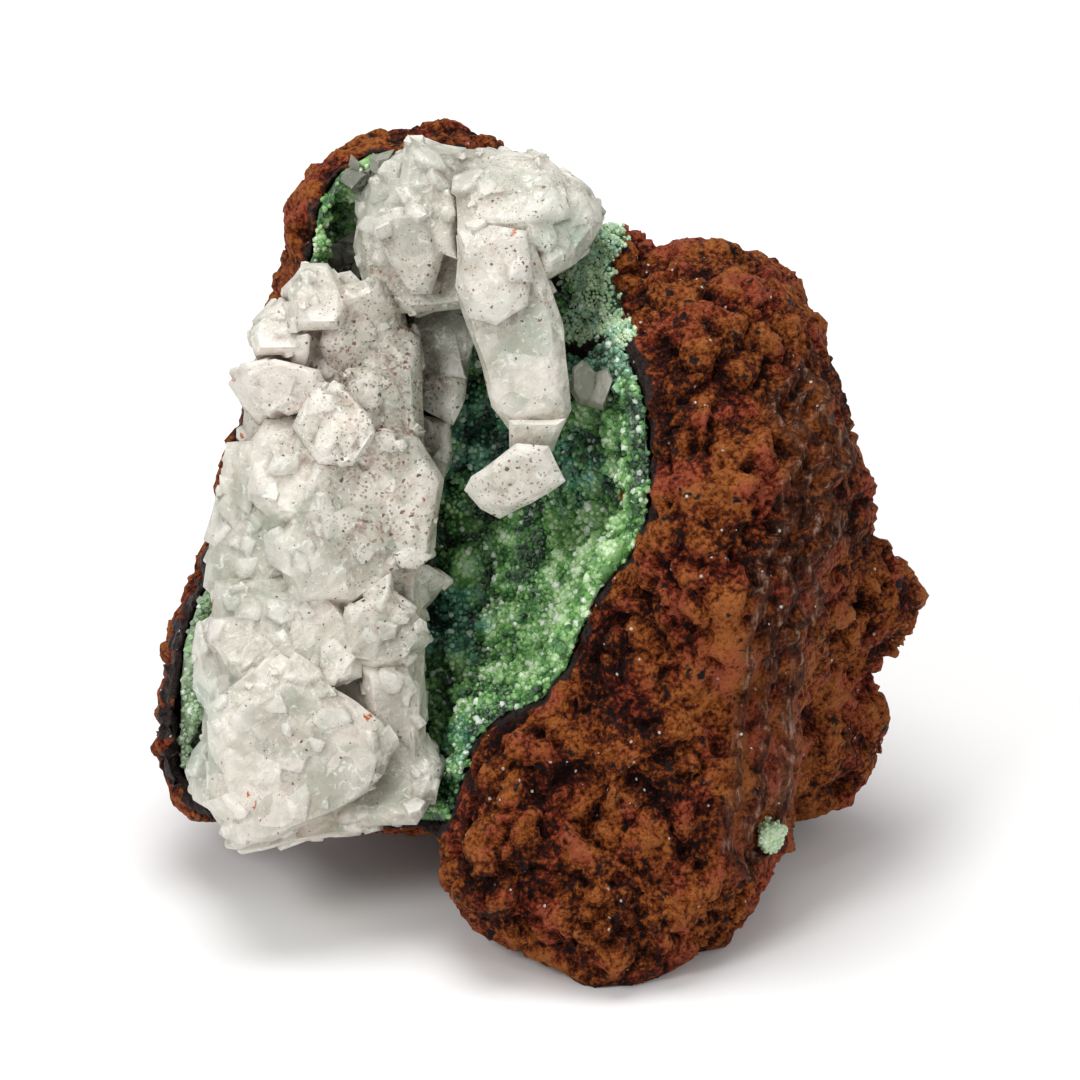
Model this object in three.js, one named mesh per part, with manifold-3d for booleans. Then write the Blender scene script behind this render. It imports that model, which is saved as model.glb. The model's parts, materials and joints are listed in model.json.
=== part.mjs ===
// A hand specimen of conichalcite on limonite: a vug in rust-brown rock, lined with a green crust and grown
// over with white calcite. Millimetres. Every piece is modelled as it is seen from the front, with x to the
// right, y up and z towards the viewer, measured from the middle of that view. The last group leans the
// whole onto its feet, with +Z up.
import * as THREE from "three";
import { ConvexGeometry } from "three/addons/geometries/ConvexGeometry.js";
import { ImprovedNoise } from "three/addons/math/ImprovedNoise.js";
import { mergeVertices } from "three/addons/utils/BufferGeometryUtils.js";
import Module from "manifold-3d";

const wasm = await Module();
wasm.setup();

// The specimen as a whole
const VIEW_ELEVATION = 25; // degrees above the table from which the specimen is seen
const FLOOR_LEVEL = -36.6; // height of the table below the middle of the view
const GAP = 0.3; // left between two minerals that touch

// The limonite lumps, as [x, y, z, half width, half height, half depth]
const HEART = new THREE.Vector3(0, -2, -12);
const LOBES = [
  [16.4, 2, -8, 15.2, 26.2, 25], // right-hand mass
  [16.8, 17, -6, 11, 12.2, 17], // its crown
  [21.8, 2, -9, 10.2, 13.5, 16], // its shoulder
  [9, -10, -1, 9.6, 12, 13], // bulge below the vug's right rim
  [29.2, -6.4, -15, 10, 6.8, 10], // upper side lump
  [25.4, -20.8, -19, 9.8, 7, 10], // lower side lump
  [14, -22, -3, 12.5, 13, 17], // lower front
  [2.5, -21, 0, 9, 8.5, 11], // below the vug's lower right corner
  [7.5, -36.5, 5, 7.8, 8.2, 9], // front foot
  [15.5, -34, 2, 6.2, 8, 9], // right foot
  [-2.5, -31, 4, 7, 8.6, 9], // left front foot
  [-6, -21, -6, 9.5, 9, 12.6], // sill under the vug, right
  [-17, -19.6, -10, 15, 10.2, 9.4], // sill under the vug, left
  [21.5, -28, -6, 4.2, 4.6, 7], // small lump behind the right foot
  [-10.5, 27, -13, 12.8, 14.2, 13], // crest above the vug
  [-18, 32.8, -8, 8.4, 8, 8], // its left shoulder
  [7, 29.4, -3, 3.6, 3.6, 6], // knob on its right
  [-5, 20, -15, 13, 16, 13], // behind the crest
  [-19.4, 9.2, -16, 12.2, 21.2, 13], // left wall
  [-24.8, -11, -14, 13.2, 13.5, 12], // lower left wall
  [-30.4, -20.8, -10.5, 9.2, 8, 8.5], // lower left corner of the vug
  [-1, -3, -22, 26, 23.5, 17], // back
  [-14, 6, -31, 11, 12, 8.5], // lump high on the back, left
  [11, 3, -31, 10, 13, 8], // lump on the back, right
  [-16, -18.5, -28, 8.5, 9, 8.5], // back foot, left
  [11, -19.5, -29, 9.5, 9, 9], // back foot, right
];
const LOBE_BLEND = 1.6; // how softly one lump runs into the next
const SKIN_DETAIL = 12; // subdivisions of the sphere that the skin starts from
const SKIN_LUMPS = [
  // wavelength and height of the lumps on the skin
  [15, 2.6],
  [7, 1.7],
];
const FARTHEST = 75; // from the heart, beyond the skin everywhere
const MARCH_STEP = 1.2; // taken along a ray in search of the skin
const HALVINGS = 12; // of that step, to settle on it

// The dark fold that runs down the right-hand mass
const FOLD = [
  [27, 14],
  [28, 6],
  [26, -2],
  [23.5, -10],
  [22.5, -18],
  [22, -25],
];
const FOLD_HEIGHT = 1.6;
const FOLD_WIDTH = 1.9;

// The vug's mouth as it is seen, clockwise from the top
const MOUTH = [
  [-13, 40.7],
  [-7, 40],
  [-1.5, 37.8],
  [3.5, 34.6],
  [8.2, 31.4],
  [6, 27.6],
  [6, 23.6],
  [8.7, 19.2],
  [10.5, 14],
  [11, 8],
  [10.7, 1.5],
  [8.6, -2.6],
  [5.4, -6],
  [3.7, -11],
  [0.8, -15.8],
  [-3.9, -17.7],
  [-6.8, -20.6],
  [-7.9, -25],
  [-9.2, -28.4],
  [-16, -29.2],
  [-24, -28.8],
  [-31, -27],
  [-36, -24.6],
  [-36.6, -18],
  [-36.1, -10],
  [-33.6, -4],
  [-31, 1],
  [-30.6, 8],
  [-28.6, 16],
  [-25.8, 24],
  [-23, 29],
  [-22.2, 34],
  [-18.6, 38.8],
];
const MOUTH_STEPS = 46; // points on the mouth once it is smoothed
const VUG_MIDDLE = new THREE.Vector2(-12, 4);
const MOUTH_LEVEL = 2.5; // z of the mouth above the vug's middle
const MOUTH_SLOPE = 0.42; // the mouth faces to the left: its z rises by this much for each mm to the right
const VUG_DEPTH = 17;
const BOWL_ROUNDNESS = [0.9, 0.8]; // powers that make the bowl fuller than an ellipsoid, across and in depth
const LIP_DRAFT = 0.35; // how fast the broken rim opens towards the viewer
const BEYOND = 60; // a z in front of everything

// The conichalcite that lines the vug, and the small patch of it low on the right
const CRUST_THICKNESS = 1.6;
const CRUST_RINGS = 9; // of facets, from the deepest point to the mouth
const CRUST_LUMPS = [
  [6.5, 1.0],
  [3.2, 0.7],
];
const PATCH_PLACE = new THREE.Vector3(22.6, -29.3, 4.2);
const PATCH_REACH = new THREE.Vector3(1.6, 1.9, 2.2);

// The calcite
const CLEAR_OF_CRUST = 3.2; // from the vug's wall to the calcite that grew in it, over the highest lumps
const CALCITE_RINGS = 5; // of facets on the hidden side that fits the vug
const FACE_LEAN = 2.6; // how steeply the crystals' front faces lean, times the slope given for each

const colours = {
  limonite: new THREE.MeshStandardMaterial({ color: 0x6b2f16, roughness: 0.92, metalness: 0 }),
  conichalcite: new THREE.MeshStandardMaterial({ color: 0x57a25c, roughness: 0.55, metalness: 0 }),
  calcite: new THREE.MeshStandardMaterial({ color: 0xdcd6c8, roughness: 0.4, metalness: 0 }),
};

// Solids and meshes
const noise = new ImprovedNoise();
const NOISE_ORIGIN = new THREE.Vector3(7.3, 3.1, 5.7);

function lumps(point, layers) {
  let sum = 0;
  for (const [wavelength, height] of layers) {
    const p = point.clone().divideScalar(wavelength).add(NOISE_ORIGIN);
    sum += height * noise.noise(p.x, p.y, p.z);
  }
  return sum;
}

function solid(geometry) {
  const bare = new THREE.BufferGeometry().setAttribute("position", geometry.getAttribute("position"));
  if (geometry.index) bare.setIndex(geometry.index);
  const merged = mergeVertices(bare, 1e-3);
  const mesh = new wasm.Mesh({
    numProp: 3,
    vertProperties: merged.attributes.position.array,
    triVerts: new Uint32Array(merged.index.array),
  });
  return new wasm.Manifold(mesh);
}

function joined(solids) {
  return solids.reduce((sum, next) => sum.add(next));
}

function largest(made) {
  return made.decompose().reduce((best, next) => (next.volume() > best.volume() ? next : best));
}

function meshOf(made, name, material) {
  const { vertProperties, triVerts, numProp, numVert } = made.getMesh();
  const positions = new Float32Array(numVert * 3);
  for (let i = 0; i < numVert; i++) {
    const vertex = vertProperties.subarray(i * numProp, i * numProp + 3);
    positions.set(vertex, i * 3);
  }
  const indexed = new THREE.BufferGeometry()
    .setAttribute("position", new THREE.BufferAttribute(positions, 3))
    .setIndex(new THREE.BufferAttribute(triVerts, 1));
  const geometry = indexed.toNonIndexed();
  geometry.computeVertexNormals();
  const mesh = new THREE.Mesh(geometry, material);
  mesh.name = name;
  return mesh;
}

// Limonite: the outermost surface of the lumps, found along rays from the heart
const foldLine = new THREE.SplineCurve(FOLD.map(([x, y]) => new THREE.Vector2(x, y))).getPoints(40);

function foldRise(point) {
  const flat = new THREE.Vector2(point.x, point.y);
  const distance = Math.min(...foldLine.map((p) => p.distanceTo(flat)));
  const facing = THREE.MathUtils.smoothstep(point.z, -12, 0);
  return FOLD_HEIGHT * facing * Math.exp(-((distance / FOLD_WIDTH) ** 2));
}

function lobeDistance(point, [x, y, z, rx, ry, rz]) {
  const dx = (point.x - x) / rx;
  const dy = (point.y - y) / ry;
  const dz = (point.z - z) / rz;
  const k0 = Math.hypot(dx, dy, dz);
  const k1 = Math.hypot(dx / rx, dy / ry, dz / rz);
  return k1 ? (k0 * (k0 - 1)) / k1 : -Math.min(rx, ry, rz);
}

function skinDistance(point) {
  let sum = 0;
  for (const lobe of LOBES) sum += Math.exp(-lobeDistance(point, lobe) / LOBE_BLEND);
  return -LOBE_BLEND * Math.log(sum);
}

function reach(direction, grow) {
  const at = (distance) => HEART.clone().addScaledVector(direction, distance);
  let low = FARTHEST;
  while (low > MARCH_STEP && skinDistance(at(low)) > 0) low -= MARCH_STEP;
  let high = low + MARCH_STEP;
  for (let i = 0; i < HALVINGS; i++) {
    const middle = (low + high) / 2;
    if (skinDistance(at(middle)) > 0) high = middle;
    else low = middle;
  }
  const surface = at(low);
  return low + lumps(surface, SKIN_LUMPS) + foldRise(surface) + grow;
}

function skin(grow) {
  const geometry = new THREE.IcosahedronGeometry(1, SKIN_DETAIL);
  const position = geometry.getAttribute("position");
  const direction = new THREE.Vector3();
  const found = new Map();
  for (let i = 0; i < position.count; i++) {
    direction.fromBufferAttribute(position, i).normalize();
    const key = direction.toArray().map((v) => v.toFixed(4)).join();
    if (!found.has(key)) {
      const point = HEART.clone().addScaledVector(direction, reach(direction, grow));
      found.set(key, point);
    }
    position.setXYZ(i, ...found.get(key).toArray());
  }
  return solid(geometry);
}

// The vug: a lathe profile stretched to the outline of the mouth
const mouthCurve = new THREE.CatmullRomCurve3(
  MOUTH.map(([x, y]) => new THREE.Vector3(x, y, 0)),
  true,
);
const mouthPoints = mouthCurve.getSpacedPoints(MOUTH_STEPS).reverse();

// A bowl profile from its deepest point up to the mouth, as [share of the reach, share of the depth, inset]
function bowlProfile(inset, rings) {
  const profile = [];
  for (let j = 0; j <= rings; j++) {
    const angle = (j / rings) * (Math.PI / 2);
    profile.push([Math.sin(angle) ** BOWL_ROUNDNESS[0], -(Math.cos(angle) ** BOWL_ROUNDNESS[1]), inset]);
  }
  return profile;
}

// Turns a profile into a closed solid. A profile point can go on with how far it is set forward and outward.
function vugForm(profile, bumps = () => 0) {
  const lathe = new THREE.LatheGeometry(
    profile.map(([share], j) => new THREE.Vector2(share, j)),
    MOUTH_STEPS,
  );
  const position = lathe.getAttribute("position");
  const point = new THREE.Vector3();
  const inwards = new THREE.Vector3();
  for (let i = 0; i < position.count; i++) {
    const [share, depth, inset, forward = 0, draft = 0] = profile[i % profile.length];
    const rim = mouthPoints[Math.floor(i / profile.length) % MOUTH_STEPS];
    const out = new THREE.Vector2(rim.x, rim.y).sub(VUG_MIDDLE);
    const length = (out.length() - inset) * share + draft;
    out.setLength(share ? length : 0).add(VUG_MIDDLE);
    const mouthZ = MOUTH_LEVEL + MOUTH_SLOPE * (out.x - VUG_MIDDLE.x);
    point.set(out.x, out.y, mouthZ + (VUG_DEPTH - inset) * depth + forward);
    inwards.set(VUG_MIDDLE.x, VUG_MIDDLE.y, MOUTH_LEVEL).sub(point).normalize();
    point.addScaledVector(inwards, bumps(point, i % profile.length));
    position.setXYZ(i, point.x, point.y, point.z);
  }
  return solid(lathe);
}

// The hole that a bowl makes, open towards the viewer
function vugCut(inset, draft, rings) {
  const forward = BEYOND - MOUTH_LEVEL;
  const open = [
    [1, 0, inset, forward, forward * draft],
    [0, 0, inset, forward, 0],
  ];
  return vugForm([...bowlProfile(inset, rings), ...open]);
}

function crustShell() {
  const outer = bowlProfile(GAP, CRUST_RINGS);
  const inner = bowlProfile(GAP + CRUST_THICKNESS, CRUST_RINGS).reverse();
  const bumps = (point, j) => (j > CRUST_RINGS ? lumps(point, CRUST_LUMPS) : 0);
  return vugForm([...outer, ...inner], bumps);
}

// A lumpy cushion of conichalcite that grew on the outside, in a fold
function outerPatch() {
  const cushion = new THREE.SphereGeometry(1, 12, 8).scale(...PATCH_REACH.toArray());
  return solid(cushion.translate(...PATCH_PLACE.toArray()));
}

// Calcite: a crystal is given by its outline as seen and by how far forward its front face stands. The face
// is a share of the outline, leans, can be shifted, and meets the sides in a chamfer.
const TYPICAL = { lean: [0, 0], thick: 12, face: 0.74, chamfer: 1.6, shift: [0, 0] };
const BACK_SHARE = 0.86;

function crystal(outline, z, options = {}) {
  const { lean, thick, face, chamfer, shift } = { ...TYPICAL, ...options };
  const middle = new THREE.Vector2();
  for (const [x, y] of outline) middle.add(new THREE.Vector2(x, y).divideScalar(outline.length));
  const points = [];
  const ring = (share, depth, [sx, sy] = [0, 0]) => {
    for (const [x, y] of outline) {
      const px = middle.x + (x - middle.x) * share + sx;
      const py = middle.y + (y - middle.y) * share + sy;
      const front = z + FACE_LEAN * (lean[0] * (px - middle.x) + lean[1] * (py - middle.y));
      points.push(new THREE.Vector3(px, py, front - depth));
    }
  };
  ring(face, 0, shift);
  ring(1, chamfer);
  ring(BACK_SHARE, thick);
  return solid(new ConvexGeometry(points));
}

// The bank of blocky crystals on the vug's left side
function bankCrystals() {
  const root = [[-25, 26], [-19, 27], [-12, 20], [-11.6, 8], [-12.4, -3], [-12.6, -14], [-11.4, -24]];
  const rootLeft = [[-16, -27.6], [-29, -29], [-33.4, -25], [-34, -12], [-31.6, -3], [-30, 8], [-28.6, 18]];
  return [
    crystal([...root, ...rootLeft], 1.5, { lean: [0.1, 0], thick: 26, face: 0.9 }),
    // upper lumps
    crystal(
      [[-25.7, 24.6], [-23.4, 23], [-23.2, 18.4], [-28.1, 18.2], [-29, 20.7], [-27.8, 22.6]],
      4,
      { lean: [-0.05, -0.3] },
    ),
    crystal(
      [[-25.2, 25.4], [-23.6, 27.6], [-21.2, 27.6], [-19.6, 25.4], [-18.8, 23.2], [-19.8, 21],
        [-24.4, 20.6]],
      5,
      { lean: [0.05, -0.22] },
    ),
    crystal(
      [[-30.9, 15.5], [-29.5, 17.3], [-26.2, 17.9], [-21.9, 17], [-21, 15.2], [-22.1, 13.2],
        [-28.2, 11.4]],
      6.2,
      { lean: [0.06, 0.16] },
    ),
    crystal(
      [[-22.4, 16.6], [-19.2, 14.8], [-16.5, 11.8], [-16.2, 10.4], [-17.7, 9.2], [-18.4, 7.4],
        [-21.8, 7.6], [-24.6, 11.2]],
      8.6,
      { lean: [0.12, -0.12], thick: 8, face: 0.93, chamfer: 0.7 },
    ),
    crystal(
      [[-20.6, 25.2], [-16.4, 26.2], [-13.6, 23.8], [-12.8, 18], [-14, 14.6], [-19.6, 14.8],
        [-22, 19.4]],
      3.2,
      { lean: [-0.1, 0.14] },
    ),
    crystal(
      [[-19.4, 17], [-14.4, 17], [-12.2, 13], [-11.4, 9], [-13, 5.4], [-17.6, 6], [-20.4, 11]],
      4.4,
      { lean: [-0.16, 0.04] },
    ),
    // middle
    crystal(
      [[-29.6, 9], [-27.4, 12], [-23.2, 12.4], [-18.6, 7.6], [-20.6, 1.6], [-26.2, 1.6], [-29.4, 4.4]],
      6.8,
      { lean: [0.04, -0.1] },
    ),
    crystal(
      [[-22.4, 8], [-16.6, 10.8], [-12.2, 10.2], [-9.6, 6], [-11.5, 2.4], [-10.6, -1.4], [-15, -4.3],
        [-18.8, -6.8], [-24.4, -6.6], [-26.4, -1]],
      6.6,
      { lean: [-0.06, 0.05], thick: 16, face: 0.9, chamfer: 1.4 },
    ),
    crystal(
      [[-31.2, 9.8], [-28, 9.8], [-25.4, 4], [-24.8, -3], [-26.8, -6.6], [-31.2, -7.2], [-33.6, -4.6],
        [-32.2, 0]],
      4.6,
      { lean: [0.2, 0.05] },
    ),
    crystal(
      [[-15.6, -3.4], [-11.2, -2.4], [-9, -4], [-10.5, -5.6], [-12.6, -7.2], [-15.8, -7]],
      2.6,
      { lean: [-0.2, 0.3], thick: 8, chamfer: 0.7 },
    ),
    crystal(
      [[-19.4, -6.8], [-15.2, -4.4], [-12.4, -7], [-10.9, -9.9], [-13, -12.5], [-17, -13.4],
        [-20.6, -11.4]],
      6.6,
      { lean: [-0.05, 0.12] },
    ),
    crystal(
      [[-32.2, -4], [-26, -3], [-20.6, -5.4], [-18, -9], [-17.8, -13.6], [-23, -15.6], [-29.6, -14.6],
        [-33.2, -10]],
      6.2,
      { lean: [0.02, -0.06], thick: 14, face: 0.88 },
    ),
    // lower
    crystal(
      [[-32.8, -16.4], [-25.6, -11], [-19.8, -15.8], [-15.4, -18], [-14.2, -20.4], [-15.3, -23.2],
        [-17.3, -25.2], [-20.2, -26.8], [-26.5, -29.6], [-30.4, -30.4], [-32.8, -26.4]],
      9.4,
      { lean: [-0.03, 0.05], thick: 18, face: 0.8, chamfer: 2.2, shift: [0, -0.8] },
    ),
    crystal(
      [[-15.4, -19], [-11.2, -19.4], [-9.8, -22.4], [-10.4, -25.2], [-12.2, -28.3], [-20, -28.4],
        [-22, -25]],
      4.4,
      { lean: [0.08, -0.2], thick: 14 },
    ),
    crystal(
      [[-18, -12.4], [-13, -12.5], [-11.6, -14.4], [-11.2, -18], [-12.4, -20.4], [-17, -20]],
      4.6,
      { lean: [-0.1, 0.1] },
    ),
    crystal(
      [[-34.6, -9.6], [-31, -5.4], [-27.4, -9], [-28, -15.6], [-32.6, -18.6], [-34.6, -15]],
      3.8,
      { lean: [0.3, 0] },
    ),
    crystal(
      [[-35.6, -22.6], [-32, -17], [-29.4, -24], [-30.4, -28.6], [-34.8, -26]],
      2,
      { lean: [0.4, 0] },
    ),
    crystal(
      [[-30.4, -27.4], [-20, -25.6], [-14.4, -26.4], [-16, -28.8], [-24, -30], [-29, -30.6]],
      3.6,
      { lean: [0, -0.2], thick: 11 },
    ),
    // the dark plates in the cleft
    crystal(
      [[-12.4, 26], [-9.4, 28.6], [-8, 27.4], [-6.5, 20.3], [-8.1, 17], [-7.7, 14.2], [-8.8, 11.6],
        [-11.4, 12.8], [-15, 16.6]],
      -2.4,
      { lean: [0.1, -0.1], thick: 11, chamfer: 0.7 },
    ),
    crystal(
      [[-14, 13], [-9, 12], [-8.7, 9.2], [-9.6, 7], [-13.6, 7]],
      -2,
      { lean: [0.2, 0], thick: 10, chamfer: 0.7 },
    ),
  ];
}

// The crystals at the vug's top, with the blade that hangs from them
function crownCrystals() {
  return [
    crystal(
      [[-18.6, 29.4], [-17.6, 36.4], [-13, 40], [-5, 39], [1.6, 36.6], [5.6, 31.6], [1, 26.4], [-6, 23],
        [-14, 22.6], [-17.6, 25]],
      3.4,
      { lean: [0.12, -0.1], thick: 16, face: 0.9 },
    ),
    crystal(
      [[-13.1, 40.3], [-10.3, 38.2], [-9.9, 36.7], [-8, 33.3], [-8.2, 27.8], [-10, 28.6], [-14, 34]],
      8.2,
      { lean: [-0.1, -0.12], thick: 8, chamfer: 0.9 },
    ),
    crystal(
      [[-14.5, 32.4], [-11.4, 32.5], [-9.4, 28.4], [-10.6, 24.4], [-12.7, 24.5], [-16.2, 30],
        [-16.4, 31.4]],
      9.8,
      { lean: [-0.05, 0.14], thick: 8, chamfer: 0.9 },
    ),
    crystal(
      [[-8.6, 35.9], [-4.8, 37.8], [-3.5, 38.8], [0.3, 38.3], [2, 36.9], [3, 32], [-1, 30], [-8, 30]],
      8.4,
      { lean: [0, -0.26], thick: 14 },
    ),
    crystal(
      [[-0.6, 37.6], [2.2, 36.7], [6.1, 33.5], [6.3, 31.4], [3.6, 27.4], [0.4, 25.6], [-1.6, 31]],
      8.2,
      { lean: [-0.22, -0.2], thick: 12 },
    ),
    crystal(
      [[-8.1, 30.6], [-1, 30.1], [0.9, 25.6], [2.2, 21.4], [2.4, 15.3], [3.1, 12.8], [2, 10.9],
        [-2.3, 10], [-4.8, 13], [-6.4, 19.5], [-7.9, 24]],
      12.4,
      { lean: [-0.03, 0.03], thick: 8, face: 0.82, shift: [-0.5, 0.4] },
    ),
    crystal(
      [[-8.2, 29.9], [-6.6, 31.2], [-1.4, 30.4], [-0.8, 26.6], [-1.2, 23], [-4.2, 21], [-6.9, 21.8],
        [-8.2, 25]],
      13.8,
      { lean: [0.08, -0.06], thick: 8, chamfer: 1 },
    ),
    crystal(
      [[-2.2, 9.4], [0.8, 9.2], [1.3, 6.9], [2.5, 5.9], [-0.8, 3.5], [-3.9, 2.1], [-5.8, 3.2],
        [-7.5, 5], [-6.9, 6.3]],
      12.2,
      { lean: [0.05, 0.2], thick: 6, chamfer: 0.8 },
    ),
    crystal(
      [[-3, 11.6], [2.6, 12], [1, 8], [-2.8, 7.6]],
      11.8,
      { lean: [0, 0.2], thick: 5, chamfer: 0.8 },
    ),
  ];
}

// The pair of small crystals on the vug's right wall
function smallSpar() {
  return [
    crystal(
      [[3.2, 17], [4.2, 17.8], [5.6, 16.6], [5.7, 14], [4, 13.2], [3, 14.7]],
      8.6,
      { lean: [-0.3, 0.2], thick: 5 },
    ),
    crystal(
      [[5, 16.4], [6.9, 17.2], [7.5, 15.9], [6.3, 12.8], [4.4, 13.4]],
      7.8,
      { lean: [0.3, -0.1], thick: 5 },
    ),
  ];
}

// Putting the minerals together
const lean = THREE.MathUtils.degToRad(90 - VIEW_ELEVATION);

function ground() {
  const size = 3 * FARTHEST;
  const block = new THREE.BoxGeometry(size, size, size).translate(0, 0, FLOOR_LEVEL - size / 2);
  return solid(block.rotateX(-lean));
}

const rock = skin(0).subtract(ground());
const matrix = rock.subtract(vugCut(0, LIP_DRAFT, CRUST_RINGS));
const crust = crustShell().intersect(rock);
const keepClear = skin(GAP).subtract(vugCut(CLEAR_OF_CRUST, 0, CALCITE_RINGS));

function grown(crystals) {
  return largest(joined(crystals).subtract(keepClear));
}

const specimen = new THREE.Group();
specimen.add(
  meshOf(largest(matrix), "limonite_matrix", colours.limonite),
  meshOf(largest(crust), "conichalcite_crust", colours.conichalcite),
  meshOf(largest(outerPatch().subtract(skin(GAP))), "conichalcite_patch", colours.conichalcite),
  meshOf(grown([...bankCrystals(), ...crownCrystals()]), "calcite_crystals", colours.calcite),
  meshOf(grown(smallSpar()), "calcite_small_spar", colours.calcite),
);
specimen.rotation.x = lean;

// Stands the specimen on the table, with the origin under the middle of its box
const stand = new THREE.Group();
stand.add(specimen);
stand.updateMatrixWorld(true);
const box = new THREE.Box3().setFromObject(stand, true);
stand.position.set(-(box.min.x + box.max.x) / 2, -(box.min.y + box.max.y) / 2, -FLOOR_LEVEL);

export default stand;
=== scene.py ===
import json
import math
import random

import bmesh
import bpy
import numpy as np
from mathutils import Matrix, Vector, kdtree, noise

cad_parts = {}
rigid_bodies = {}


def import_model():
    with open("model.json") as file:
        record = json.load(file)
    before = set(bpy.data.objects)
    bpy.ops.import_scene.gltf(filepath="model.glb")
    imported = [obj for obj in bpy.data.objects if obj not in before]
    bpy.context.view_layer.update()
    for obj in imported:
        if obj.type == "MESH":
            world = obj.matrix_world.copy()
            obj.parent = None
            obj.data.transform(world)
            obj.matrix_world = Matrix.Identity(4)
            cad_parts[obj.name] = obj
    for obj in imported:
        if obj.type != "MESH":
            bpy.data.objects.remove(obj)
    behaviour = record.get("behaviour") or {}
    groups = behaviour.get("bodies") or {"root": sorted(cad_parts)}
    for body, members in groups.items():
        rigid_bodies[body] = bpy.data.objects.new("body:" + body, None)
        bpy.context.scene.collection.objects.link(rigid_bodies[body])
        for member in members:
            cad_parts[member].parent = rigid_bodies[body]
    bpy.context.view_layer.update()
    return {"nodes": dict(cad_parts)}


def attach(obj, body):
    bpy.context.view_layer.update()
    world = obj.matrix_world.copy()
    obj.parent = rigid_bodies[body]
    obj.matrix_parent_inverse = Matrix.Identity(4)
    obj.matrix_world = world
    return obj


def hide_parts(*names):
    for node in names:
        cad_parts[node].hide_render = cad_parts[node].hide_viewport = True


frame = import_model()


# The view: the specimen is seen from the front and a little above, through a long lens. Its pieces are
# measured as they are seen, in millimetres: x to the right, y up and z towards the viewer.
mm = 0.001
VIEW_ELEVATION = math.radians(25)
VIEW_DISTANCE = 700 * mm
VIEW_WIDTH = 108 * mm
SENSOR_WIDTH = 36

seen_right = Vector((1, 0, 0))
seen_up = Vector((0, math.sin(VIEW_ELEVATION), math.cos(VIEW_ELEVATION)))
seen_front = Vector((0, -math.cos(VIEW_ELEVATION), math.sin(VIEW_ELEVATION)))
view_middle = mm * Vector((0.26, -5.92, 36.6))


def seen(x, y, z):
    """The place of a point given as it is seen."""
    return view_middle + mm * (x * seen_right + y * seen_up + z * seen_front)


def as_seen(places):
    """The seen x, y and z of an array of places."""
    axes = np.array([seen_right, seen_up, seen_front])
    return (places - np.array(view_middle)) @ axes.T / mm


view_data = bpy.data.cameras.new("camera")
view_data.sensor_width = SENSOR_WIDTH
view_data.lens = SENSOR_WIDTH * VIEW_DISTANCE / VIEW_WIDTH
view_data.clip_end = 10
view = bpy.data.objects.new("camera", view_data)
view.location = view_middle + VIEW_DISTANCE * seen_front
view.rotation_euler = (math.pi / 2 - VIEW_ELEVATION, 0, 0)
bpy.context.collection.objects.link(view)
bpy.context.scene.camera = view
bpy.context.scene.view_settings.view_transform = "Standard"


# The table: a seamless sheet of matt white paper under the specimen and far behind it. It belongs to
# the stage and isn't a piece of the specimen.
PAPER_SIZE = 4.0
PAPER_WHITE = (0.93, 0.925, 0.92)


def new_material(name, roughness=0.5):
    material = bpy.data.materials.new(name)
    material.use_nodes = True
    shader = material.node_tree.nodes["Principled BSDF"]
    shader.inputs["Roughness"].default_value = roughness
    return material, material.node_tree, shader


def new_object(name, mesh):
    made = bpy.data.objects.new(name, mesh)
    bpy.context.collection.objects.link(made)
    return made


half = PAPER_SIZE / 2
paper_mesh = bpy.data.meshes.new("paper")
paper_corners = [(-half, -half, 0), (half, -half, 0), (half, half, 0), (-half, half, 0)]
paper_mesh.from_pydata(paper_corners, [], [(0, 1, 2, 3)])
paper = new_object("paper", paper_mesh)
paper_material, _, paper_shader = new_material("white_paper", 0.9)
paper_shader.inputs["Base Color"].default_value = (*PAPER_WHITE, 1)
paper_mesh.materials.append(paper_material)


# The studio light: a broad soft box above, two weaker ones in front, and a pale room all round that
# fills the shadows. The specimen casts a soft shadow to both sides of its foot.
def soft_box(name, place, size, power):
    data = bpy.data.lights.new(name, "AREA")
    data.shape = "RECTANGLE"
    data.size, data.size_y = size
    data.energy = power
    light = bpy.data.objects.new(name, data)
    light.location = place
    light.rotation_euler = (view_middle - Vector(place)).to_track_quat("-Z", "Y").to_euler()
    bpy.context.collection.objects.link(light)


soft_box("top_light", (-0.05, 0.06, 0.6), (0.42, 0.36), 2.5)
soft_box("front_left_light", (-0.4, -0.5, 0.52), (0.24, 0.24), 2.1)
soft_box("front_right_light", (0.5, -0.5, 0.4), (0.2, 0.2), 0.7)
room = bpy.data.worlds.new("room")
room.use_nodes = True
room.node_tree.nodes["Background"].inputs["Color"].default_value = (1, 1, 1, 1)
room.node_tree.nodes["Background"].inputs["Strength"].default_value = 0.5
bpy.context.scene.world = room


# The limonite: one lump of earthy iron oxide, rust-brown and pitted outside, with a near-black rind of
# goethite where it meets the vug. It broke naturally, so its skin is knobs, pits, cracks and folds.
ROCK_VOXEL = 0.52 * mm
SWELL_SIZE = 9  # mm across, like the three sizes below
KNOB_SIZE = 4.4
LUMP_SIZE = 2.1
GRANULE_SIZE = 1.05
HIGHEST_KNOB = 1.0  # mm out of the solid
DEEPEST_PIT = 3.0  # mm into it
RELIEF_BY_THE_VUG = (0.6, 3.4)  # mm from the druse, where the relief begins and where it is full
RELIEF_BY_THE_FLOOR = (0.2, 2.5)  # mm above the floor, likewise
LIP_FROM_DRUSE = 1.2  # mm, to the crest of the low lip round the vug
LIP_WIDTH = 0.8  # mm
LIP_HEIGHT = 0.25  # mm
RIND_START = 0.9  # mm from the druse, up to where the rind is black
RIND_WIDTH = 2.4  # mm from the druse, where it ends
WIDER_ON_THE_LEFT = 1.8  # mm
FOLD = [(27, 14), (28.5, 8), (27.5, 2), (25, -6), (23.6, -13), (23, -20), (22.6, -26), (22, -30)]
FOLD_WIDTH = 3.6  # mm
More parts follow.
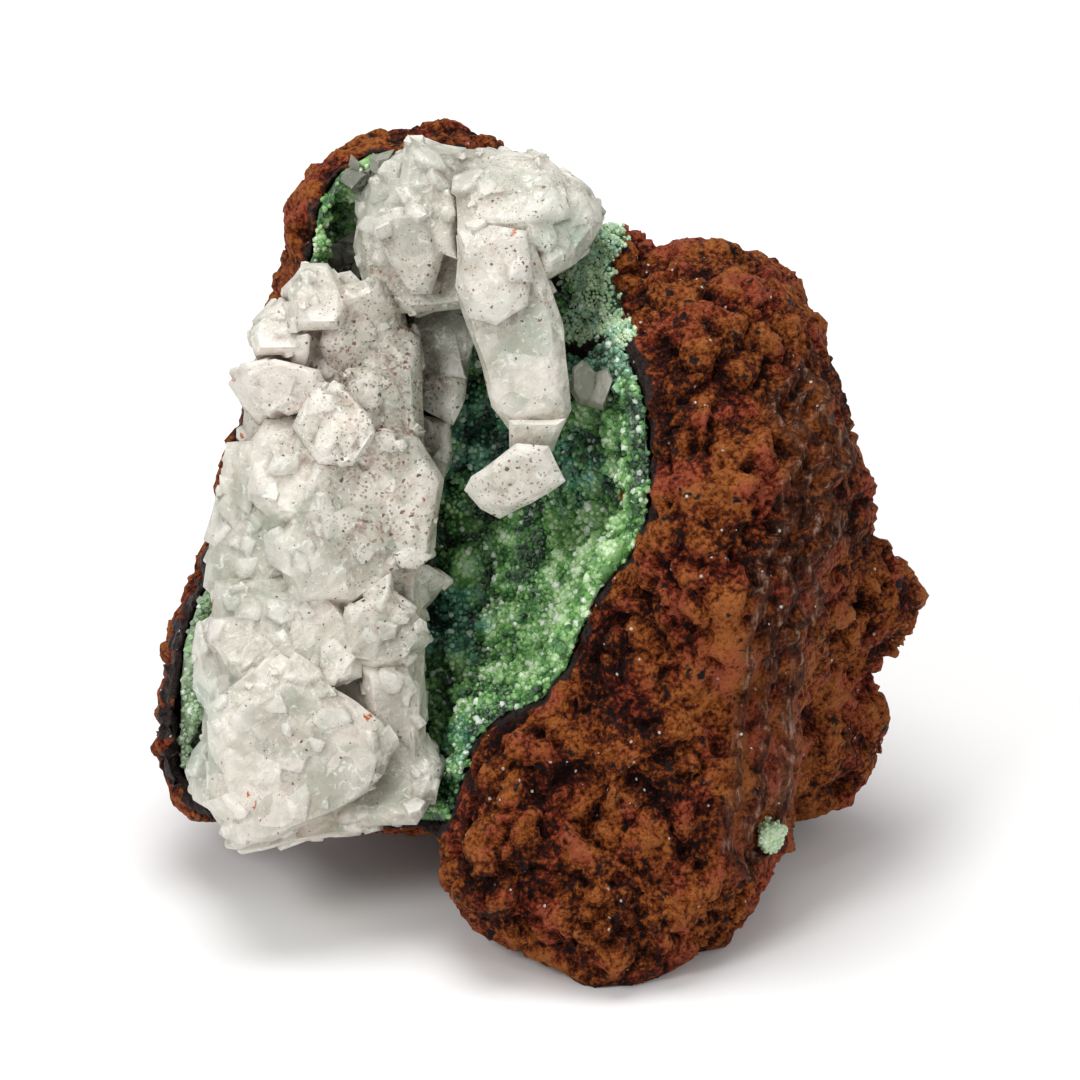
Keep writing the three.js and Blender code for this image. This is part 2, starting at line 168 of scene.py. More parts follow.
FOLD_RIDGES = (-3.2, -0.9, 1.5)  # mm beside the fold's line
RIDGE_WIDTH = 0.55  # mm
RIM_DRUSE = [  # soft round places, each with its seen x, y and radius in mm, and its strength
    (6.5, 30.5, 2.2, 1),
    (4.5, 27, 2.4, 1),
    (5.5, 23.5, 2.4, 1),
    (3.5, 22, 2.4, 1),
    (8.2, 20.5, 1.4, 0.9),
]

noise.seed_set(7)  # without a seed, noise_vector changes from run to run


def mesh_points(mesh):
    points = np.empty(len(mesh.vertices) * 3, dtype=np.float32)
    mesh.vertices.foreach_get("co", points)
    return points.reshape(-1, 3).astype(float)


def set_points(mesh, points):
    mesh.vertices.foreach_set("co", points.astype(np.float32).ravel())
    mesh.update()


def mesh_normals(mesh):
    normals = np.empty(len(mesh.vertices) * 3, dtype=np.float32)
    mesh.vertices.foreach_get("normal", normals)
    return normals.reshape(-1, 3).astype(float)


def copy_of_node(node_name, name):
    """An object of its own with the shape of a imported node."""
    mesh = frame["nodes"][node_name].data.copy()
    mesh.materials.clear()
    form = bmesh.new()
    form.from_mesh(mesh)
    bmesh.ops.remove_doubles(form, verts=form.verts, dist=0.001 * mm)
    form.to_mesh(mesh)
    form.free()
    return new_object(name, mesh)


def apply_modifiers(piece):
    depsgraph = bpy.context.evaluated_depsgraph_get()
    mesh = bpy.data.meshes.new_from_object(piece.evaluated_get(depsgraph))
    piece.modifiers.clear()
    old = piece.data
    piece.data = mesh
    bpy.data.meshes.remove(old)


def remesh(piece, voxel):
    modifier = piece.modifiers.new("remesh", "REMESH")
    modifier.mode = "VOXEL"
    modifier.voxel_size = voxel
    apply_modifiers(piece)


def mask_attribute(mesh, name, values):
    """Stores one number per vertex, which the material reads by this name."""
    attribute = mesh.attributes.new(name, "FLOAT", "POINT")
    attribute.data.foreach_set("value", np.asarray(values, dtype=np.float32))


def nearest_distances(points, targets):
    """The distance from each point to the nearest target."""
    tree = kdtree.KDTree(len(targets))
    for i, target in enumerate(targets):
        tree.insert(target, i)
    tree.balance()
    return np.array([tree.find(p)[2] for p in points])


def smooth_step(value, low, high):
    """0 below low, 1 above high, and smooth between them."""
    t = np.clip((value - low) / (high - low), 0, 1)
    return t * t * (3 - 2 * t)


def fold_offset(flat):
    """How far each seen (x, y) lies to the right of the fold's wavy line."""
    line = []
    for (x0, y0), (x1, y1) in zip(FOLD, FOLD[1:]):
        for t in np.linspace(0, 1, 12, endpoint=False):
            y = y0 + t * (y1 - y0)
            line.append((x0 + t * (x1 - x0) + 0.7 * math.sin(0.9 * y), y))
    gaps = flat[:, None, :] - np.array(line)[None, :, :]
    nearest = np.argmin((gaps**2).sum(-1), axis=1)
    offset = gaps[np.arange(len(flat)), nearest]
    return np.hypot(offset[:, 0], offset[:, 1]) * np.sign(offset[:, 0])


def rock_relief(place):
    """How far a point of the skin stands out: broad swells, knobs with cracks between them, and pits."""
    v = Vector(place) / mm
    warp = v + 1.6 * noise.noise_vector(v / 5)
    swell = noise.fractal(v / SWELL_SIZE, 0.8, 2.0, 3)
    knob = noise.voronoi(warp / KNOB_SIZE)[0]
    lump = noise.voronoi(warp / LUMP_SIZE)[0]
    grain = noise.voronoi(v / GRANULE_SIZE)[0]
    crack = math.exp(-(((knob[1] - knob[0]) / 0.09) ** 2)) * (noise.noise(v / 7) > -0.05)
    pit = max(0, noise.fractal(v / 2.3 + Vector((9, 9, 9)), 0.8, 2, 2) - 0.18)
    knobs = 0.9 * (0.48 - knob[0]) + 0.45 * (0.45 - lump[0]) + 0.3 * (0.45 - grain[0])
    rough = noise.turbulence(v / 3.2 + Vector((5, 0, 7)), 4, True, noise_basis="PERLIN_ORIGINAL")
    return 1.3 * swell + knobs + 1.1 * (0.62 - rough) - 1.0 * crack - 2.6 * pit


rock = copy_of_node("limonite_matrix", "limonite")
remesh(rock, ROCK_VOXEL)
rock_points = mesh_points(rock.data)
rock_seen = as_seen(rock_points)
druse_points = [Vector(p) for p in mesh_points(frame["nodes"]["conichalcite_crust"].data)]
to_druse = nearest_distances(rock_points, druse_points) / mm
outside = smooth_step(to_druse, *RELIEF_BY_THE_VUG)
fold_at = fold_offset(rock_seen[:, :2])
on_front = smooth_step(rock_seen[:, 2], -14, -4)
fold_wave = 0.5 * np.sin(0.8 * rock_seen[:, 1] + 1)
beside_fold = fold_at - fold_wave
ridges = sum(np.exp(-(((beside_fold - ridge) / RIDGE_WIDTH) ** 2)) for ridge in FOLD_RIDGES) * on_front
in_fold = np.exp(-((fold_at / FOLD_WIDTH) ** 4)) * on_front
relief = np.array([rock_relief(p) for p in rock_points])
above_floor = smooth_step(rock_points[:, 2] / mm, *RELIEF_BY_THE_FLOOR)
move = relief * (0.12 + 0.88 * outside) * (1 - 0.7 * in_fold) + 1.1 * ridges - 0.8 * in_fold
lip = np.exp(-(((to_druse - LIP_FROM_DRUSE) / LIP_WIDTH) ** 2)) * smooth_step(rock_seen[:, 2], -6, 0)
move = np.clip(move + LIP_HEIGHT * lip, -DEEPEST_PIT, HIGHEST_KNOB) * above_floor
set_points(rock.data, rock_points + mesh_normals(rock.data) * (move * mm)[:, None])
left_side = smooth_step(-rock_seen[:, 0], 18, 26) * smooth_step(-rock_seen[:, 1], -12, 0)
at_top = smooth_step(rock_seen[:, 1], 14, 24) * smooth_step(-rock_seen[:, 0], 8, 14)
rind_end = RIND_WIDTH + WIDER_ON_THE_LEFT * left_side
mask_attribute(rock.data, "rind", (1 - smooth_step(to_druse, RIND_START, rind_end)) * (1 - 0.45 * at_top))


def near_places(at, places):
    """How near each seen point is to a list of soft round places, as (x, y, radius, strength)."""
    sum_of = np.zeros(len(at))
    for x, y, radius, strength in places:
        sum_of += strength * np.exp(-(((at[:, 0] - x) ** 2 + (at[:, 1] - y) ** 2) / radius**2))
    return np.clip(sum_of, 0, 1)


mask_attribute(rock.data, "green", near_places(rock_seen, RIM_DRUSE) * on_front)
mask_attribute(rock.data, "fold", np.clip(0.15 * in_fold + ridges, 0, 1))
# The relief mask drives painted light on the knobs and painted shade in the hollows and pits.
mask_attribute(rock.data, "relief", smooth_step(relief, -1.6, 1.2))
rock.data.shade_smooth()


def node(tree, kind, **values):
    """A shader node with its inputs and settings given by name."""
    made = tree.nodes.new("ShaderNode" + kind)
    for key, value in values.items():
        name = key.replace("_", " ")
        if name in made.inputs:
            made.inputs[name].default_value = value
        else:
            setattr(made, key, value)
    return made


def ramp(tree, source, stops):
    made = tree.nodes.new("ShaderNodeValToRGB")
    elements = made.color_ramp.elements
    while len(elements) < len(stops):
        elements.new(0.5)
    for element, (position, colour) in zip(elements, stops):
        element.position = position
        element.color = (*colour, 1)
    tree.links.new(source, made.inputs["Fac"])
    return made.outputs["Color"]


def maths(tree, operation, first, second):
    made = node(tree, "Math", operation=operation)
    for value, socket in zip((first, second), made.inputs):
        if isinstance(value, (int, float)):
            socket.default_value = value
        else:
            tree.links.new(value, socket)
    return made.outputs[0]


def product(tree, first, second):
    return maths(tree, "MULTIPLY", first, second)


def total(tree, *terms):
    """The sum of (source, factor) pairs, plain sources and plain numbers."""
    result = 0.0
    for term in terms:
        part = product(tree, *term) if isinstance(term, tuple) else term
        result = maths(tree, "ADD", part, result)
    return result


def step(tree, source, low, high):
    """0 on low's side, 1 on high's side, and smooth between them. Low may be the larger of the two."""
    made = node(tree, "MapRange", interpolation_type="SMOOTHSTEP", From_Min=low, From_Max=high)
    tree.links.new(source, made.inputs["Value"])
    return made.outputs["Result"]


def noise_at(tree, where, size, detail=4, roughness=0.55, distortion=0.0):
    """Noise with lumps of a size in mm."""
    made = node(tree, "TexNoise", Scale=1 / (size * mm), Detail=detail)
    made.inputs["Roughness"].default_value = roughness
    made.inputs["Distortion"].default_value = distortion
    tree.links.new(where, made.inputs["Vector"])
    return made.outputs["Fac"]


def cells_at(tree, where, size):
    """The distance to the nearest of scattered points that lie about a size in mm apart."""
    made = node(tree, "TexVoronoi", Scale=1 / (size * mm))
    tree.links.new(where, made.inputs["Vector"])
    return made.outputs["Distance"]


def mixed(tree, factor, first, second):
    """The first colour where the factor is 0 and the second where it is 1."""
    made = tree.nodes.new("ShaderNodeMix")
    made.data_type = "RGBA"
    for value, index in ((factor, 0), (first, 6), (second, 7)):
        if isinstance(value, (int, float)):
            made.inputs[index].default_value = value
        elif isinstance(value, tuple):
            made.inputs[index].default_value = (*value, 1)
        else:
            tree.links.new(value, made.inputs[index])
    return made.outputs[2]


def mask_of(tree, name):
    return node(tree, "Attribute", attribute_name=name).outputs["Fac"]


def bumped(tree, height, distance):
    """A surface normal from a height that runs from 0 to 1 over a distance in mm."""
    made = node(tree, "Bump", Strength=1.0, Distance=distance * mm)
    tree.links.new(height, made.inputs["Height"])
    return made.outputs["Normal"]


def earthy_limonite():
    """Rust-brown and orange earth with black hollows, a dark rind, greyish folds and small white spots of
    painted highlight; painted light lifts its knobs and painted shade darkens its hollows.
    """
    material, tree, shader = new_material("earthy_limonite", 0.8)
    where = node(tree, "TexCoord").outputs["Object"]
    broad = noise_at(tree, where, 9, 3, 0.6)
    patchy = noise_at(tree, where, 2.6, 4, 0.65)
    mottled = noise_at(tree, where, 0.62, 4, 0.72)
    grit = noise_at(tree, where, 0.28, 2, 0.6)
    granules = cells_at(tree, where, 0.55)
    lumps = cells_at(tree, where, 1.25)
    # Painted light and shade: the tone rises on the knobs and falls in the hollows and pits, by the relief
    # mask.
    painted_relief_shading = mask_of(tree, "relief")
    tone = total(tree, (mottled, 1.35), (patchy, 0.5), (broad, 0.5), (painted_relief_shading, 0.46),
                 (grit, 0.40), (granules, -0.36), (lumps, -0.16), -0.825)
    orange = ramp(tree, tone, [
        (0.22, (0.010, 0.001, 0.001)),
        (0.38, (0.060, 0.010, 0.002)),
        (0.50, (0.180, 0.036, 0.005)),
        (0.62, (0.300, 0.078, 0.011)),
        (0.78, (0.430, 0.135, 0.034)),
    ])
    red = ramp(tree, tone, [
        (0.22, (0.010, 0.002, 0.002)),
        (0.40, (0.065, 0.007, 0.002)),
        (0.54, (0.210, 0.027, 0.007)),
        (0.74, (0.400, 0.090, 0.040)),
    ])
    earth = mixed(tree, step(tree, noise_at(tree, where, 5, 3), 0.46, 0.62), orange, red)
    black_spots = step(tree, noise_at(tree, where, 1.9, 3, 0.6), 0.60, 0.68)
    spotted = mixed(tree, black_spots, earth, (0.016, 0.010, 0.009))
    streaks_at = node(tree, "Mapping", Scale=(1, 1, 0.22))
    tree.links.new(where, streaks_at.inputs["Vector"])
    streaks = noise_at(tree, streaks_at.outputs["Vector"], 0.7, 4, 0.65)
    fold_colour = ramp(tree, streaks, [
        (0.40, (0.012, 0.003, 0.002)),
        (0.54, (0.120, 0.040, 0.018)),
        (0.66, (0.420, 0.260, 0.190)),
    ])
    folded = mixed(tree, product(tree, mask_of(tree, "fold"), 0.85), spotted, fold_colour)
    rind_colour = ramp(tree, mottled, [(0.36, (0.006, 0.003, 0.003)), (0.66, (0.060, 0.036, 0.034))])
    rind = step(tree, total(tree, mask_of(tree, "rind"), (patchy, 1.1), -0.55), 0.42, 0.60)
    ringed = mixed(tree, rind, folded, rind_colour)
    coloured = mixed(tree, step(tree, mask_of(tree, "green"), 0.35, 0.6), ringed, (0.070, 0.140, 0.075))
    # Painted highlight: tiny white spots in the base colour, with a lower roughness, stand in for sparkles
    # of light off the grains.
    painted_glints = maths(tree, "LESS_THAN", cells_at(tree, where, 1.5), 0.11)
    painted_glints = product(tree, painted_glints, step(tree, noise_at(tree, where, 4, 2), 0.52, 0.56))
    final = mixed(tree, painted_glints, coloured, (0.78, 0.72, 0.68))
    tree.links.new(final, shader.inputs["Base Color"])
    rough = total(tree, 0.78, (rind, -0.34), (black_spots, -0.35), (painted_glints, -0.4))
    tree.links.new(rough, shader.inputs["Roughness"])
    height = total(tree, (mottled, 0.9), (grit, 0.6), (patchy, 0.5), (streaks, 0.4),
                   (granules, -0.5), (lumps, -0.6))
    tree.links.new(bumped(tree, height, 1.0), shader.inputs["Normal"])
    shader.inputs["Specular IOR Level"].default_value = 0.15
    return material


rock.data.materials.append(earthy_limonite())
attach(rock, "root")
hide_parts("limonite_matrix")


# The conichalcite: a crust of tiny bright green grains that lines the whole vug in small round swellings,
# yellow-green low on the right, teal and darker in the depths. The grains grew against one another.
CRUST_VOXEL = 0.42 * mm
SWELLING_SIZE = 3.6  # mm across
SMALL_SWELLING_SIZE = 1.7  # mm
GRAIN_SIZE = (0.22, 0.44)  # mm, from a grain's middle to its skin
BIG_GRAIN = 1.5  # times the size that a grain would have
GRAIN_SPACING = 0.5  # mm
MOST_GRAINS = 9600
GRAIN_FORMS = 24
vug_middle = np.array(seen(-8, 4, 12))  # in its open middle, in front of the druse


def crust_relief(place):
    """The round swellings of the druse."""
    v = Vector(place) / mm
    warp = v + 0.8 * noise.noise_vector(v / 3)
    swelling = noise.voronoi(warp / SWELLING_SIZE)[0]
    small = noise.voronoi(warp / SMALL_SWELLING_SIZE + Vector((3, 1, 4)))[0]
    return 2.9 * (0.5 - swelling[0]) + 1.1 * (0.5 - small[0])


crust = copy_of_node("conichalcite_crust", "druse_crust")
remesh(crust, CRUST_VOXEL)
crust_points = mesh_points(crust.data)
crust_normals = mesh_normals(crust.data)
faces_in = smooth_step(((vug_middle - crust_points) * crust_normals).sum(1) / mm, -1, 3)
swellings = np.array([crust_relief(p) for p in crust_points])
set_points(crust.data, crust_points + crust_normals * (swellings * faces_in * mm)[:, None])
crust.data.shade_smooth()


def grain_shape(rng):
    """A small lumpy crystal with flat faces, about 1 from its middle to its skin."""
    form = bmesh.new()
    bmesh.ops.create_icosphere(form, subdivisions=1, radius=1)
    points = np.array([v.co * rng.uniform(0.78, 1.18) for v in form.verts])
    faces = np.array([[v.index for v in f.verts] for f in form.faces])
    form.free()
    return points, faces


def scattered(mesh, spacing, keep, seed, most):
    """Places on a mesh at least a spacing in mm apart, with the surface's normal at each."""
    rng = random.Random(seed)
    mesh.calc_loop_triangles()
    points = mesh_points(mesh)
    triangles = np.array([t.vertices[:] for t in mesh.loop_triangles])
    normals = np.array([t.normal[:] for t in mesh.loop_triangles])
    middles = points[triangles].mean(1)
    kept = np.nonzero(keep(middles, normals))[0]
    areas = np.cumsum([mesh.loop_triangles[i].area for i in kept])
    found, taken = [], {}
    cell = spacing * mm
    for _ in range(most * 12):
        if len(found) >= most:
            break
        pick = kept[int(np.searchsorted(areas, rng.random() * areas[-1]))]
        a, b = sorted((rng.random(), rng.random()))
        corners = points[triangles[pick]]
        place = a * corners[0] + (b - a) * corners[1] + (1 - b) * corners[2]
        key = tuple(np.floor(place / cell).astype(int))
        steps = (-1, 0, 1)
        around = [(key[0] + i, key[1] + j, key[2] + k) for i in steps for j in steps for k in steps]
        if any(n in taken and math.dist(taken[n], place) < cell for n in around):
            continue
        taken[key] = place
        found.append((place, normals[pick]))
    return found


def random_turn(rng):
    turn = Matrix.Identity(3)
    for axis in "ZXY":
        turn = turn @ Matrix.Rotation(rng.uniform(0, math.tau), 3, axis)
    return np.array(turn)


def grain_mesh(name, places, sizes, seed, shape=grain_shape, rise=0.1, big=0.1):
    """One joined mesh of small crystals, each turned at random and with a tint of its own.

    They stand out from their places by a rise times their size, and a share of them is big.
    """
    rng = random.Random(seed)
    forms = [shape(rng) for _ in range(GRAIN_FORMS)]
    all_points, all_faces, tints = [], [], []
    start = 0
    for place, normal in places:
        points, faces = rng.choice(forms)
        size = rng.uniform(*sizes) * mm * (BIG_GRAIN if rng.random() < big else 1)
        all_points.append(points @ random_turn(rng) * size + place + normal * size * rise)
        all_faces.append(faces + start)
        tints.append(np.full(len(points), rng.random()))
        start += len(points)
    mesh = bpy.data.meshes.new(name)
    mesh.from_pydata(np.concatenate(all_points).tolist(), [], np.concatenate(all_faces).tolist())
    mask_attribute(mesh, "tint", np.concatenate(tints))
    return new_object(name, mesh)


BRIGHT_DRUSE = [
    (4, -6, 5, 1), (1, -12, 5, 0.9), (7, 2, 4, 0.6), (-19, 34, 5, 0.9), (3, 29, 6, 0.6), (8, 30, 4, 0.7),
]
TEAL_DRUSE = [(-6, 10, 7, 0.7), (-10, -8, 5, 0.8), (6, 19, 5, 0.9), (-8, -20, 4, 0.5), (4, 7, 4, 0.5)]
PALE_DRUSE = [(-36, -14, 4, 0.8), (-36, -22, 5, 0.8), (-36, -6, 4, 0.6), (8, 20, 4, 0.35)]


def plain_masks(mesh, **values):
    """Stores the same number in every vertex, for each mask that is named."""
    for name, value in values.items():
        mask_attribute(mesh, name, np.full(len(mesh.vertices), value))


def druse_masks(mesh):
    """Stores where the druse is bright, teal or pale, and how far it swells out."""
    points = mesh_points(mesh)
    at = as_seen(points)
    # The swell mask drives painted light on the swellings and painted shade in the gaps between them.
    mask_attribute(mesh, "swell", np.array([smooth_step(crust_relief(p), -1.2, 1.5) for p in points]))
    mask_attribute(mesh, "bright", near_places(at, BRIGHT_DRUSE))
    mask_attribute(mesh, "teal", near_places(at, TEAL_DRUSE))
    mask_attribute(mesh, "pale", near_places(at, PALE_DRUSE))


def druse_green():
    """Green conichalcite: yellow-green and lighter on the swellings by painted light, with painted shade in
    the gaps between them, teal in the depths, and a tint for each grain.
    """
    material, tree, shader = new_material("druse_green", 0.26)
    where = node(tree, "TexCoord").outputs["Object"]
    patches = noise_at(tree, where, 3.0, 3, 0.6)
    cloudy = noise_at(tree, where, 0.5, 2, 0.6)
    tint = mask_of(tree, "tint")
    # Painted light and shade: the swell mask lifts the tone on the swellings and lowers it in the gaps.
    tone = total(tree, (patches, 0.8), (cloudy, 0.35), (tint, 0.42), (mask_of(tree, "bright"), 0.24),
                 (mask_of(tree, "swell"), 0.50), -0.465)
    green = ramp(tree, tone, [
        (0.28, (0.010, 0.042, 0.012)),
        (0.42, (0.040, 0.150, 0.034)),
        (0.55, (0.110, 0.310, 0.070)),
        (0.70, (0.250, 0.500, 0.150)),
        (0.88, (0.600, 0.780, 0.480)),
    ])
    teal = ramp(tree, tone, [
        (0.28, (0.008, 0.045, 0.030)),
        (0.44, (0.030, 0.160, 0.095)),
        (0.58, (0.080, 0.310, 0.190)),
        (0.80, (0.300, 0.600, 0.450)),
    ])
    teal_noise = noise_at(tree, where, 1.6, 2)
    teal_patches = step(tree, total(tree, mask_of(tree, "teal"), (teal_noise, 1.4), -0.7), 0.25, 0.7)
    green = mixed(tree, teal_patches, green, teal)
    pale = mixed(tree, mask_of(tree, "pale"), green, (0.40, 0.52, 0.34))
    # Pale grains and painted sparkle: a few grains are near-white, partly as pale grains and partly
    # standing in for light that sparkles off the crystals.
    pale_grains_and_painted_sparkle = maths(tree, "GREATER_THAN", tint, 0.94)
    final = mixed(tree, product(tree, pale_grains_and_painted_sparkle, 0.75), pale, (0.80, 0.88, 0.78))
    tree.links.new(final, shader.inputs["Base Color"])
    shader.inputs["Coat Weight"].default_value = 0.3
    shader.inputs["Coat Roughness"].default_value = 0.06
    shader.inputs["IOR"].default_value = 1.75
    tree.links.new(bumped(tree, noise_at(tree, where, 0.22, 2), 0.12), shader.inputs["Normal"])
    return material


druse = druse_green()
plain_masks(crust.data, tint=0.2)
druse_masks(crust.data)
crust.data.materials.append(druse)
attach(crust, "root")
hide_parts("conichalcite_crust")


# The grains of the druse: small lumpy crystals, grown one against the next over the crust's inner face.
# There are none where the fine grey calcite covers them.
GREY_SUGAR = [(-15, 37, 4, 1), (-12, 33, 4, 1), (-18.5, 27.5, 3.2, 1), (-6, 37, 4, 1), (-2, 34, 4, 1)]


def in_the_open(middles, normals):
    """True on the crust's inner face and on its rim."""
    return ((vug_middle - middles) * normals).sum(1) > -1.5 * mm


def among_the_sugar(middles):
    """How far the places lie in the region where fine grey calcite covers the druse, from 0 to 1."""
    return near_places(as_seen(middles), GREY_SUGAR)


def on_bare_druse(middles, normals):
    return in_the_open(middles, normals) & (among_the_sugar(middles) < 0.75)


grain_places = scattered(crust.data, GRAIN_SPACING, on_bare_druse, seed=5, most=MOST_GRAINS)
grains = grain_mesh("druse_grains", grain_places, GRAIN_SIZE, seed=5)
druse_masks(grains.data)
grains.data.materials.append(druse)
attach(grains, "root")
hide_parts("conichalcite_crust")


# The rim's grains: a thin sugar of the same druse on the rock itself, at the upper right of the vug and
# round the small patch.
RIM_GRAIN_SIZE = (0.16, 0.34)  # mm
RIM_GRAIN_SPACING = 0.32  # mm
MOST_RIM_GRAINS = 2600
PATCH_DRUSE = [
    (22.6, -29.3, 0.9, 1),
    (23.8, -28.9, 0.9, 1),
    (22.4, -28.3, 0.7, 0.9),
    (22.9, -30.3, 0.7, 0.9),
]


def on_the_rim(middles, normals):
    """True at the rim's places on the front of the rock."""
    at = as_seen(middles)
    spread = 0.25 * np.sin(at[:, 0] * 4.1) * np.sin(at[:, 1] * 3.7)
    near = near_places(at, RIM_DRUSE + PATCH_DRUSE) + spread
    return (near > 0.52) & (normals @ np.array(seen_front) > -0.3) & (at[:, 2] > -14)


rim_places = scattered(rock.data, RIM_GRAIN_SPACING, on_the_rim, seed=9, most=MOST_RIM_GRAINS)
rim_grains = grain_mesh("druse_rim_grains", rim_places, RIM_GRAIN_SIZE, seed=9)
# swell=0.8 gives these grains the painted light of a swelling's top.
plain_masks(rim_grains.data, bright=0.9, teal=0.4, pale=0.3, swell=0.8)
rim_grains.data.materials.append(druse)
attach(rim_grains, "root")
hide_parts("conichalcite_crust")


# The small patch: a knob of the same druse that grew by itself in the fold low on the right, with its
# own covering of grains.
PATCH_VOXEL = 0.3 * mm
PATCH_GRAIN_SIZE = (0.16, 0.3)  # mm
PATCH_GRAIN_SPACING = 0.4  # mm
MOST_PATCH_GRAINS = 260


def everywhere(middles, normals):
    return np.full(len(middles), True)


patch = copy_of_node("conichalcite_patch", "druse_patch")
remesh(patch, PATCH_VOXEL)
patch_places = scattered(patch.data, PATCH_GRAIN_SPACING, everywhere, seed=8, most=MOST_PATCH_GRAINS)
patch_grains = grain_mesh("druse_patch_grains", patch_places, PATCH_GRAIN_SIZE, seed=8)
plain_masks(patch.data, tint=0.5)
for piece in (patch, patch_grains):
    # swell=0.8 gives these pieces the painted light of a swelling's top.
    plain_masks(piece.data, bright=0.9, teal=0.2, pale=0.5, swell=0.8)
    piece.data.materials.append(druse)
    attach(piece, "root")
    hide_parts("conichalcite_patch")


# The calcite: blocky, milky crystals that grew over the druse on the left and at the top. Flat broken
# crystals lie on their faces, and rust-brown specks of iron oxide were caught in them.
LONGEST_EDGE = 1.5 * mm
SHARP_FROM = math.radians(24)
PLATE_SPACING = 1.35  # mm
MOST_PLATES = 800
SHARE_OF_LARGE_PLATES = 0.62
LARGE_PLATE = (1.2, 2.9)  # mm from its middle to its corners
SMALL_PLATE = (0.5, 1.3)  # mm
PLATE_DEPTH = 1.3  # mm from a plate's place down to its underside
PLATE_BEVEL = 0.35  # mm
FURTHEST_OVERHANG = 0.95 * mm
CALCITE_MASKS = ("green", "pink", "grey", "dust", "stain", "seam", "ridge")
SMOOTH_CALCITE = [
    (-3, 23, 7, 0.9), (-1, 13, 6, 1), (0, 8, 6, 1), (-3, 4, 5, 0.8), (-10, 26, 4, 0.9), (-15, 3, 5, 0.8),
    (-23, -23, 6, 0.6), (-25, 13, 4, 0.4), (-10, 15, 5, 0.8), (0, 31, 6, 0.5),
]

calcite = copy_of_node("calcite_crystals", "calcite")
crystals = bpy.data.collections.new("crystals")
bpy.context.scene.collection.children.link(crystals)


def add_crystal(points):
    """Adds a closed convex crystal with these corners."""
    form = bmesh.new()
    for point in points:
        form.verts.new(point)
    made = bmesh.ops.convex_hull(form, input=form.verts)
    inner = [v for v in made["geom_interior"] if isinstance(v, bmesh.types.BMVert)]
    bmesh.ops.delete(form, geom=inner, context="VERTS")
    mesh = bpy.data.meshes.new("crystal")
    form.to_mesh(mesh)
    form.free()
    crystals.objects.link(bpy.data.objects.new("crystal", mesh))


def on_the_outside(middles, normals):
    """True where the calcite can be seen, and not in the vug behind it."""
    return (normals @ np.array(seen_front) > -0.25) | (normals[:, 2] > 0.5)


def broken_plate(place, normal, radius, rise, tilt, rng):
    """Adds a flat broken crystal that lies nearly along the surface, with its top a rise in mm above it."""
    lie = Vector((0, 0, 1)).rotation_difference(Vector(normal)).to_matrix()
    lean = Matrix.Rotation(rng.gauss(0, tilt), 3, "X") @ Matrix.Rotation(rng.gauss(0, tilt), 3, "Y")
    count = rng.choice((4, 5, 5, 6, 7))
    start = rng.uniform(0, math.tau)
    points = []
    for k in range(count):
        angle = start + math.tau * (k + rng.uniform(-0.34, 0.34)) / count
        edge = Vector((math.cos(angle), math.sin(angle), 0)) * radius * rng.uniform(0.6, 1.15)
        corner = Vector(place) + (lie @ lean @ edge) * mm
        if (calcite.closest_point_on_mesh(corner)[1] - corner).length > FURTHEST_OVERHANG:
            return
        points.append(edge * 0.9 + Vector((0, 0, rise)))
        points.append(edge * 1.02 + Vector((0, 0, rise - PLATE_BEVEL)))
        points.append(edge * 0.85 - Vector((0, 0, PLATE_DEPTH)))
    add_crystal([Vector(place) + (lie @ lean @ p) * mm for p in points])


rng = random.Random(12)
for place, normal in scattered(calcite.data, PLATE_SPACING, on_the_outside, seed=21, most=MOST_PLATES):
    at = as_seen(np.array([place]))
    if rng.random() < near_places(at, SMOOTH_CALCITE)[0]:
        continue
    if rng.random() < SHARE_OF_LARGE_PLATES:
        broken_plate(place, normal, rng.uniform(*LARGE_PLATE), rng.uniform(0.05, 0.24), 0.1, rng)
    else:
        radius = rng.uniform(*SMALL_PLATE)
        broken_plate(place, normal, radius, rng.uniform(0.05, 0.14 + 0.16 * radius), 0.18, rng)

join = calcite.modifiers.new("join", "BOOLEAN")
join.operation = "UNION"
join.solver = "MANIFOLD"
join.operand_type = "COLLECTION"
join.collection = crystals
apply_modifiers(calcite)
for made in list(crystals.objects):
    bpy.data.objects.remove(made)
bpy.data.collections.remove(crystals)


def refine(mesh, longest):
    """Halves the edges that are longer than this, in three rounds, and keeps all the faces triangles."""
    form = bmesh.new()
    form.from_mesh(mesh)
    bmesh.ops.remove_doubles(form, verts=form.verts, dist=0.02 * mm)
    bmesh.ops.triangulate(form, faces=form.faces)
    for _ in range(3):
        long = [e for e in form.edges if e.calc_length() > longest]
        bmesh.ops.subdivide_edges(form, edges=long, cuts=1)
        bmesh.ops.triangulate(form, faces=[f for f in form.faces if len(f.verts) > 3])
    form.to_mesh(mesh)
    form.free()
    mesh.validate()


def hollows(mesh, rounds=2):
    """How deep each vertex lies between its neighbours, about 1 in a sharp seam and -1 on a sharp edge."""
    points, normals = mesh_points(mesh), mesh_normals(mesh)
    edges = np.empty(len(mesh.edges) * 2, dtype=np.int32)
    mesh.edges.foreach_get("vertices", edges)
    a, b = edges.reshape(-1, 2).T
    count = np.bincount(a, minlength=len(points)) + np.bincount(b, minlength=len(points))

    def average(values):
        total_of = np.zeros_like(values)
        np.add.at(total_of, a, values[b])
        np.add.at(total_of, b, values[a])
        return (total_of.T / count).T

    spacing = np.linalg.norm(points[a] - points[b], axis=1).mean()
    bend = ((average(points) - points) * normals).sum(1) / spacing * 3
    for _ in range(rounds):
        bend = 0.5 * bend + 0.5 * average(bend)
    return np.clip(bend * 1.6, -1, 1)


def uneven(mesh, size, amount):
    """Moves the points a little by smooth noise with a size and amount in mm, so that no face is flat."""
    points = mesh_points(mesh)
    for i, point in enumerate(points):
        points[i] += np.array(noise.noise_vector(Vector(point) / mm / size)) * amount * mm
    set_points(mesh, points)


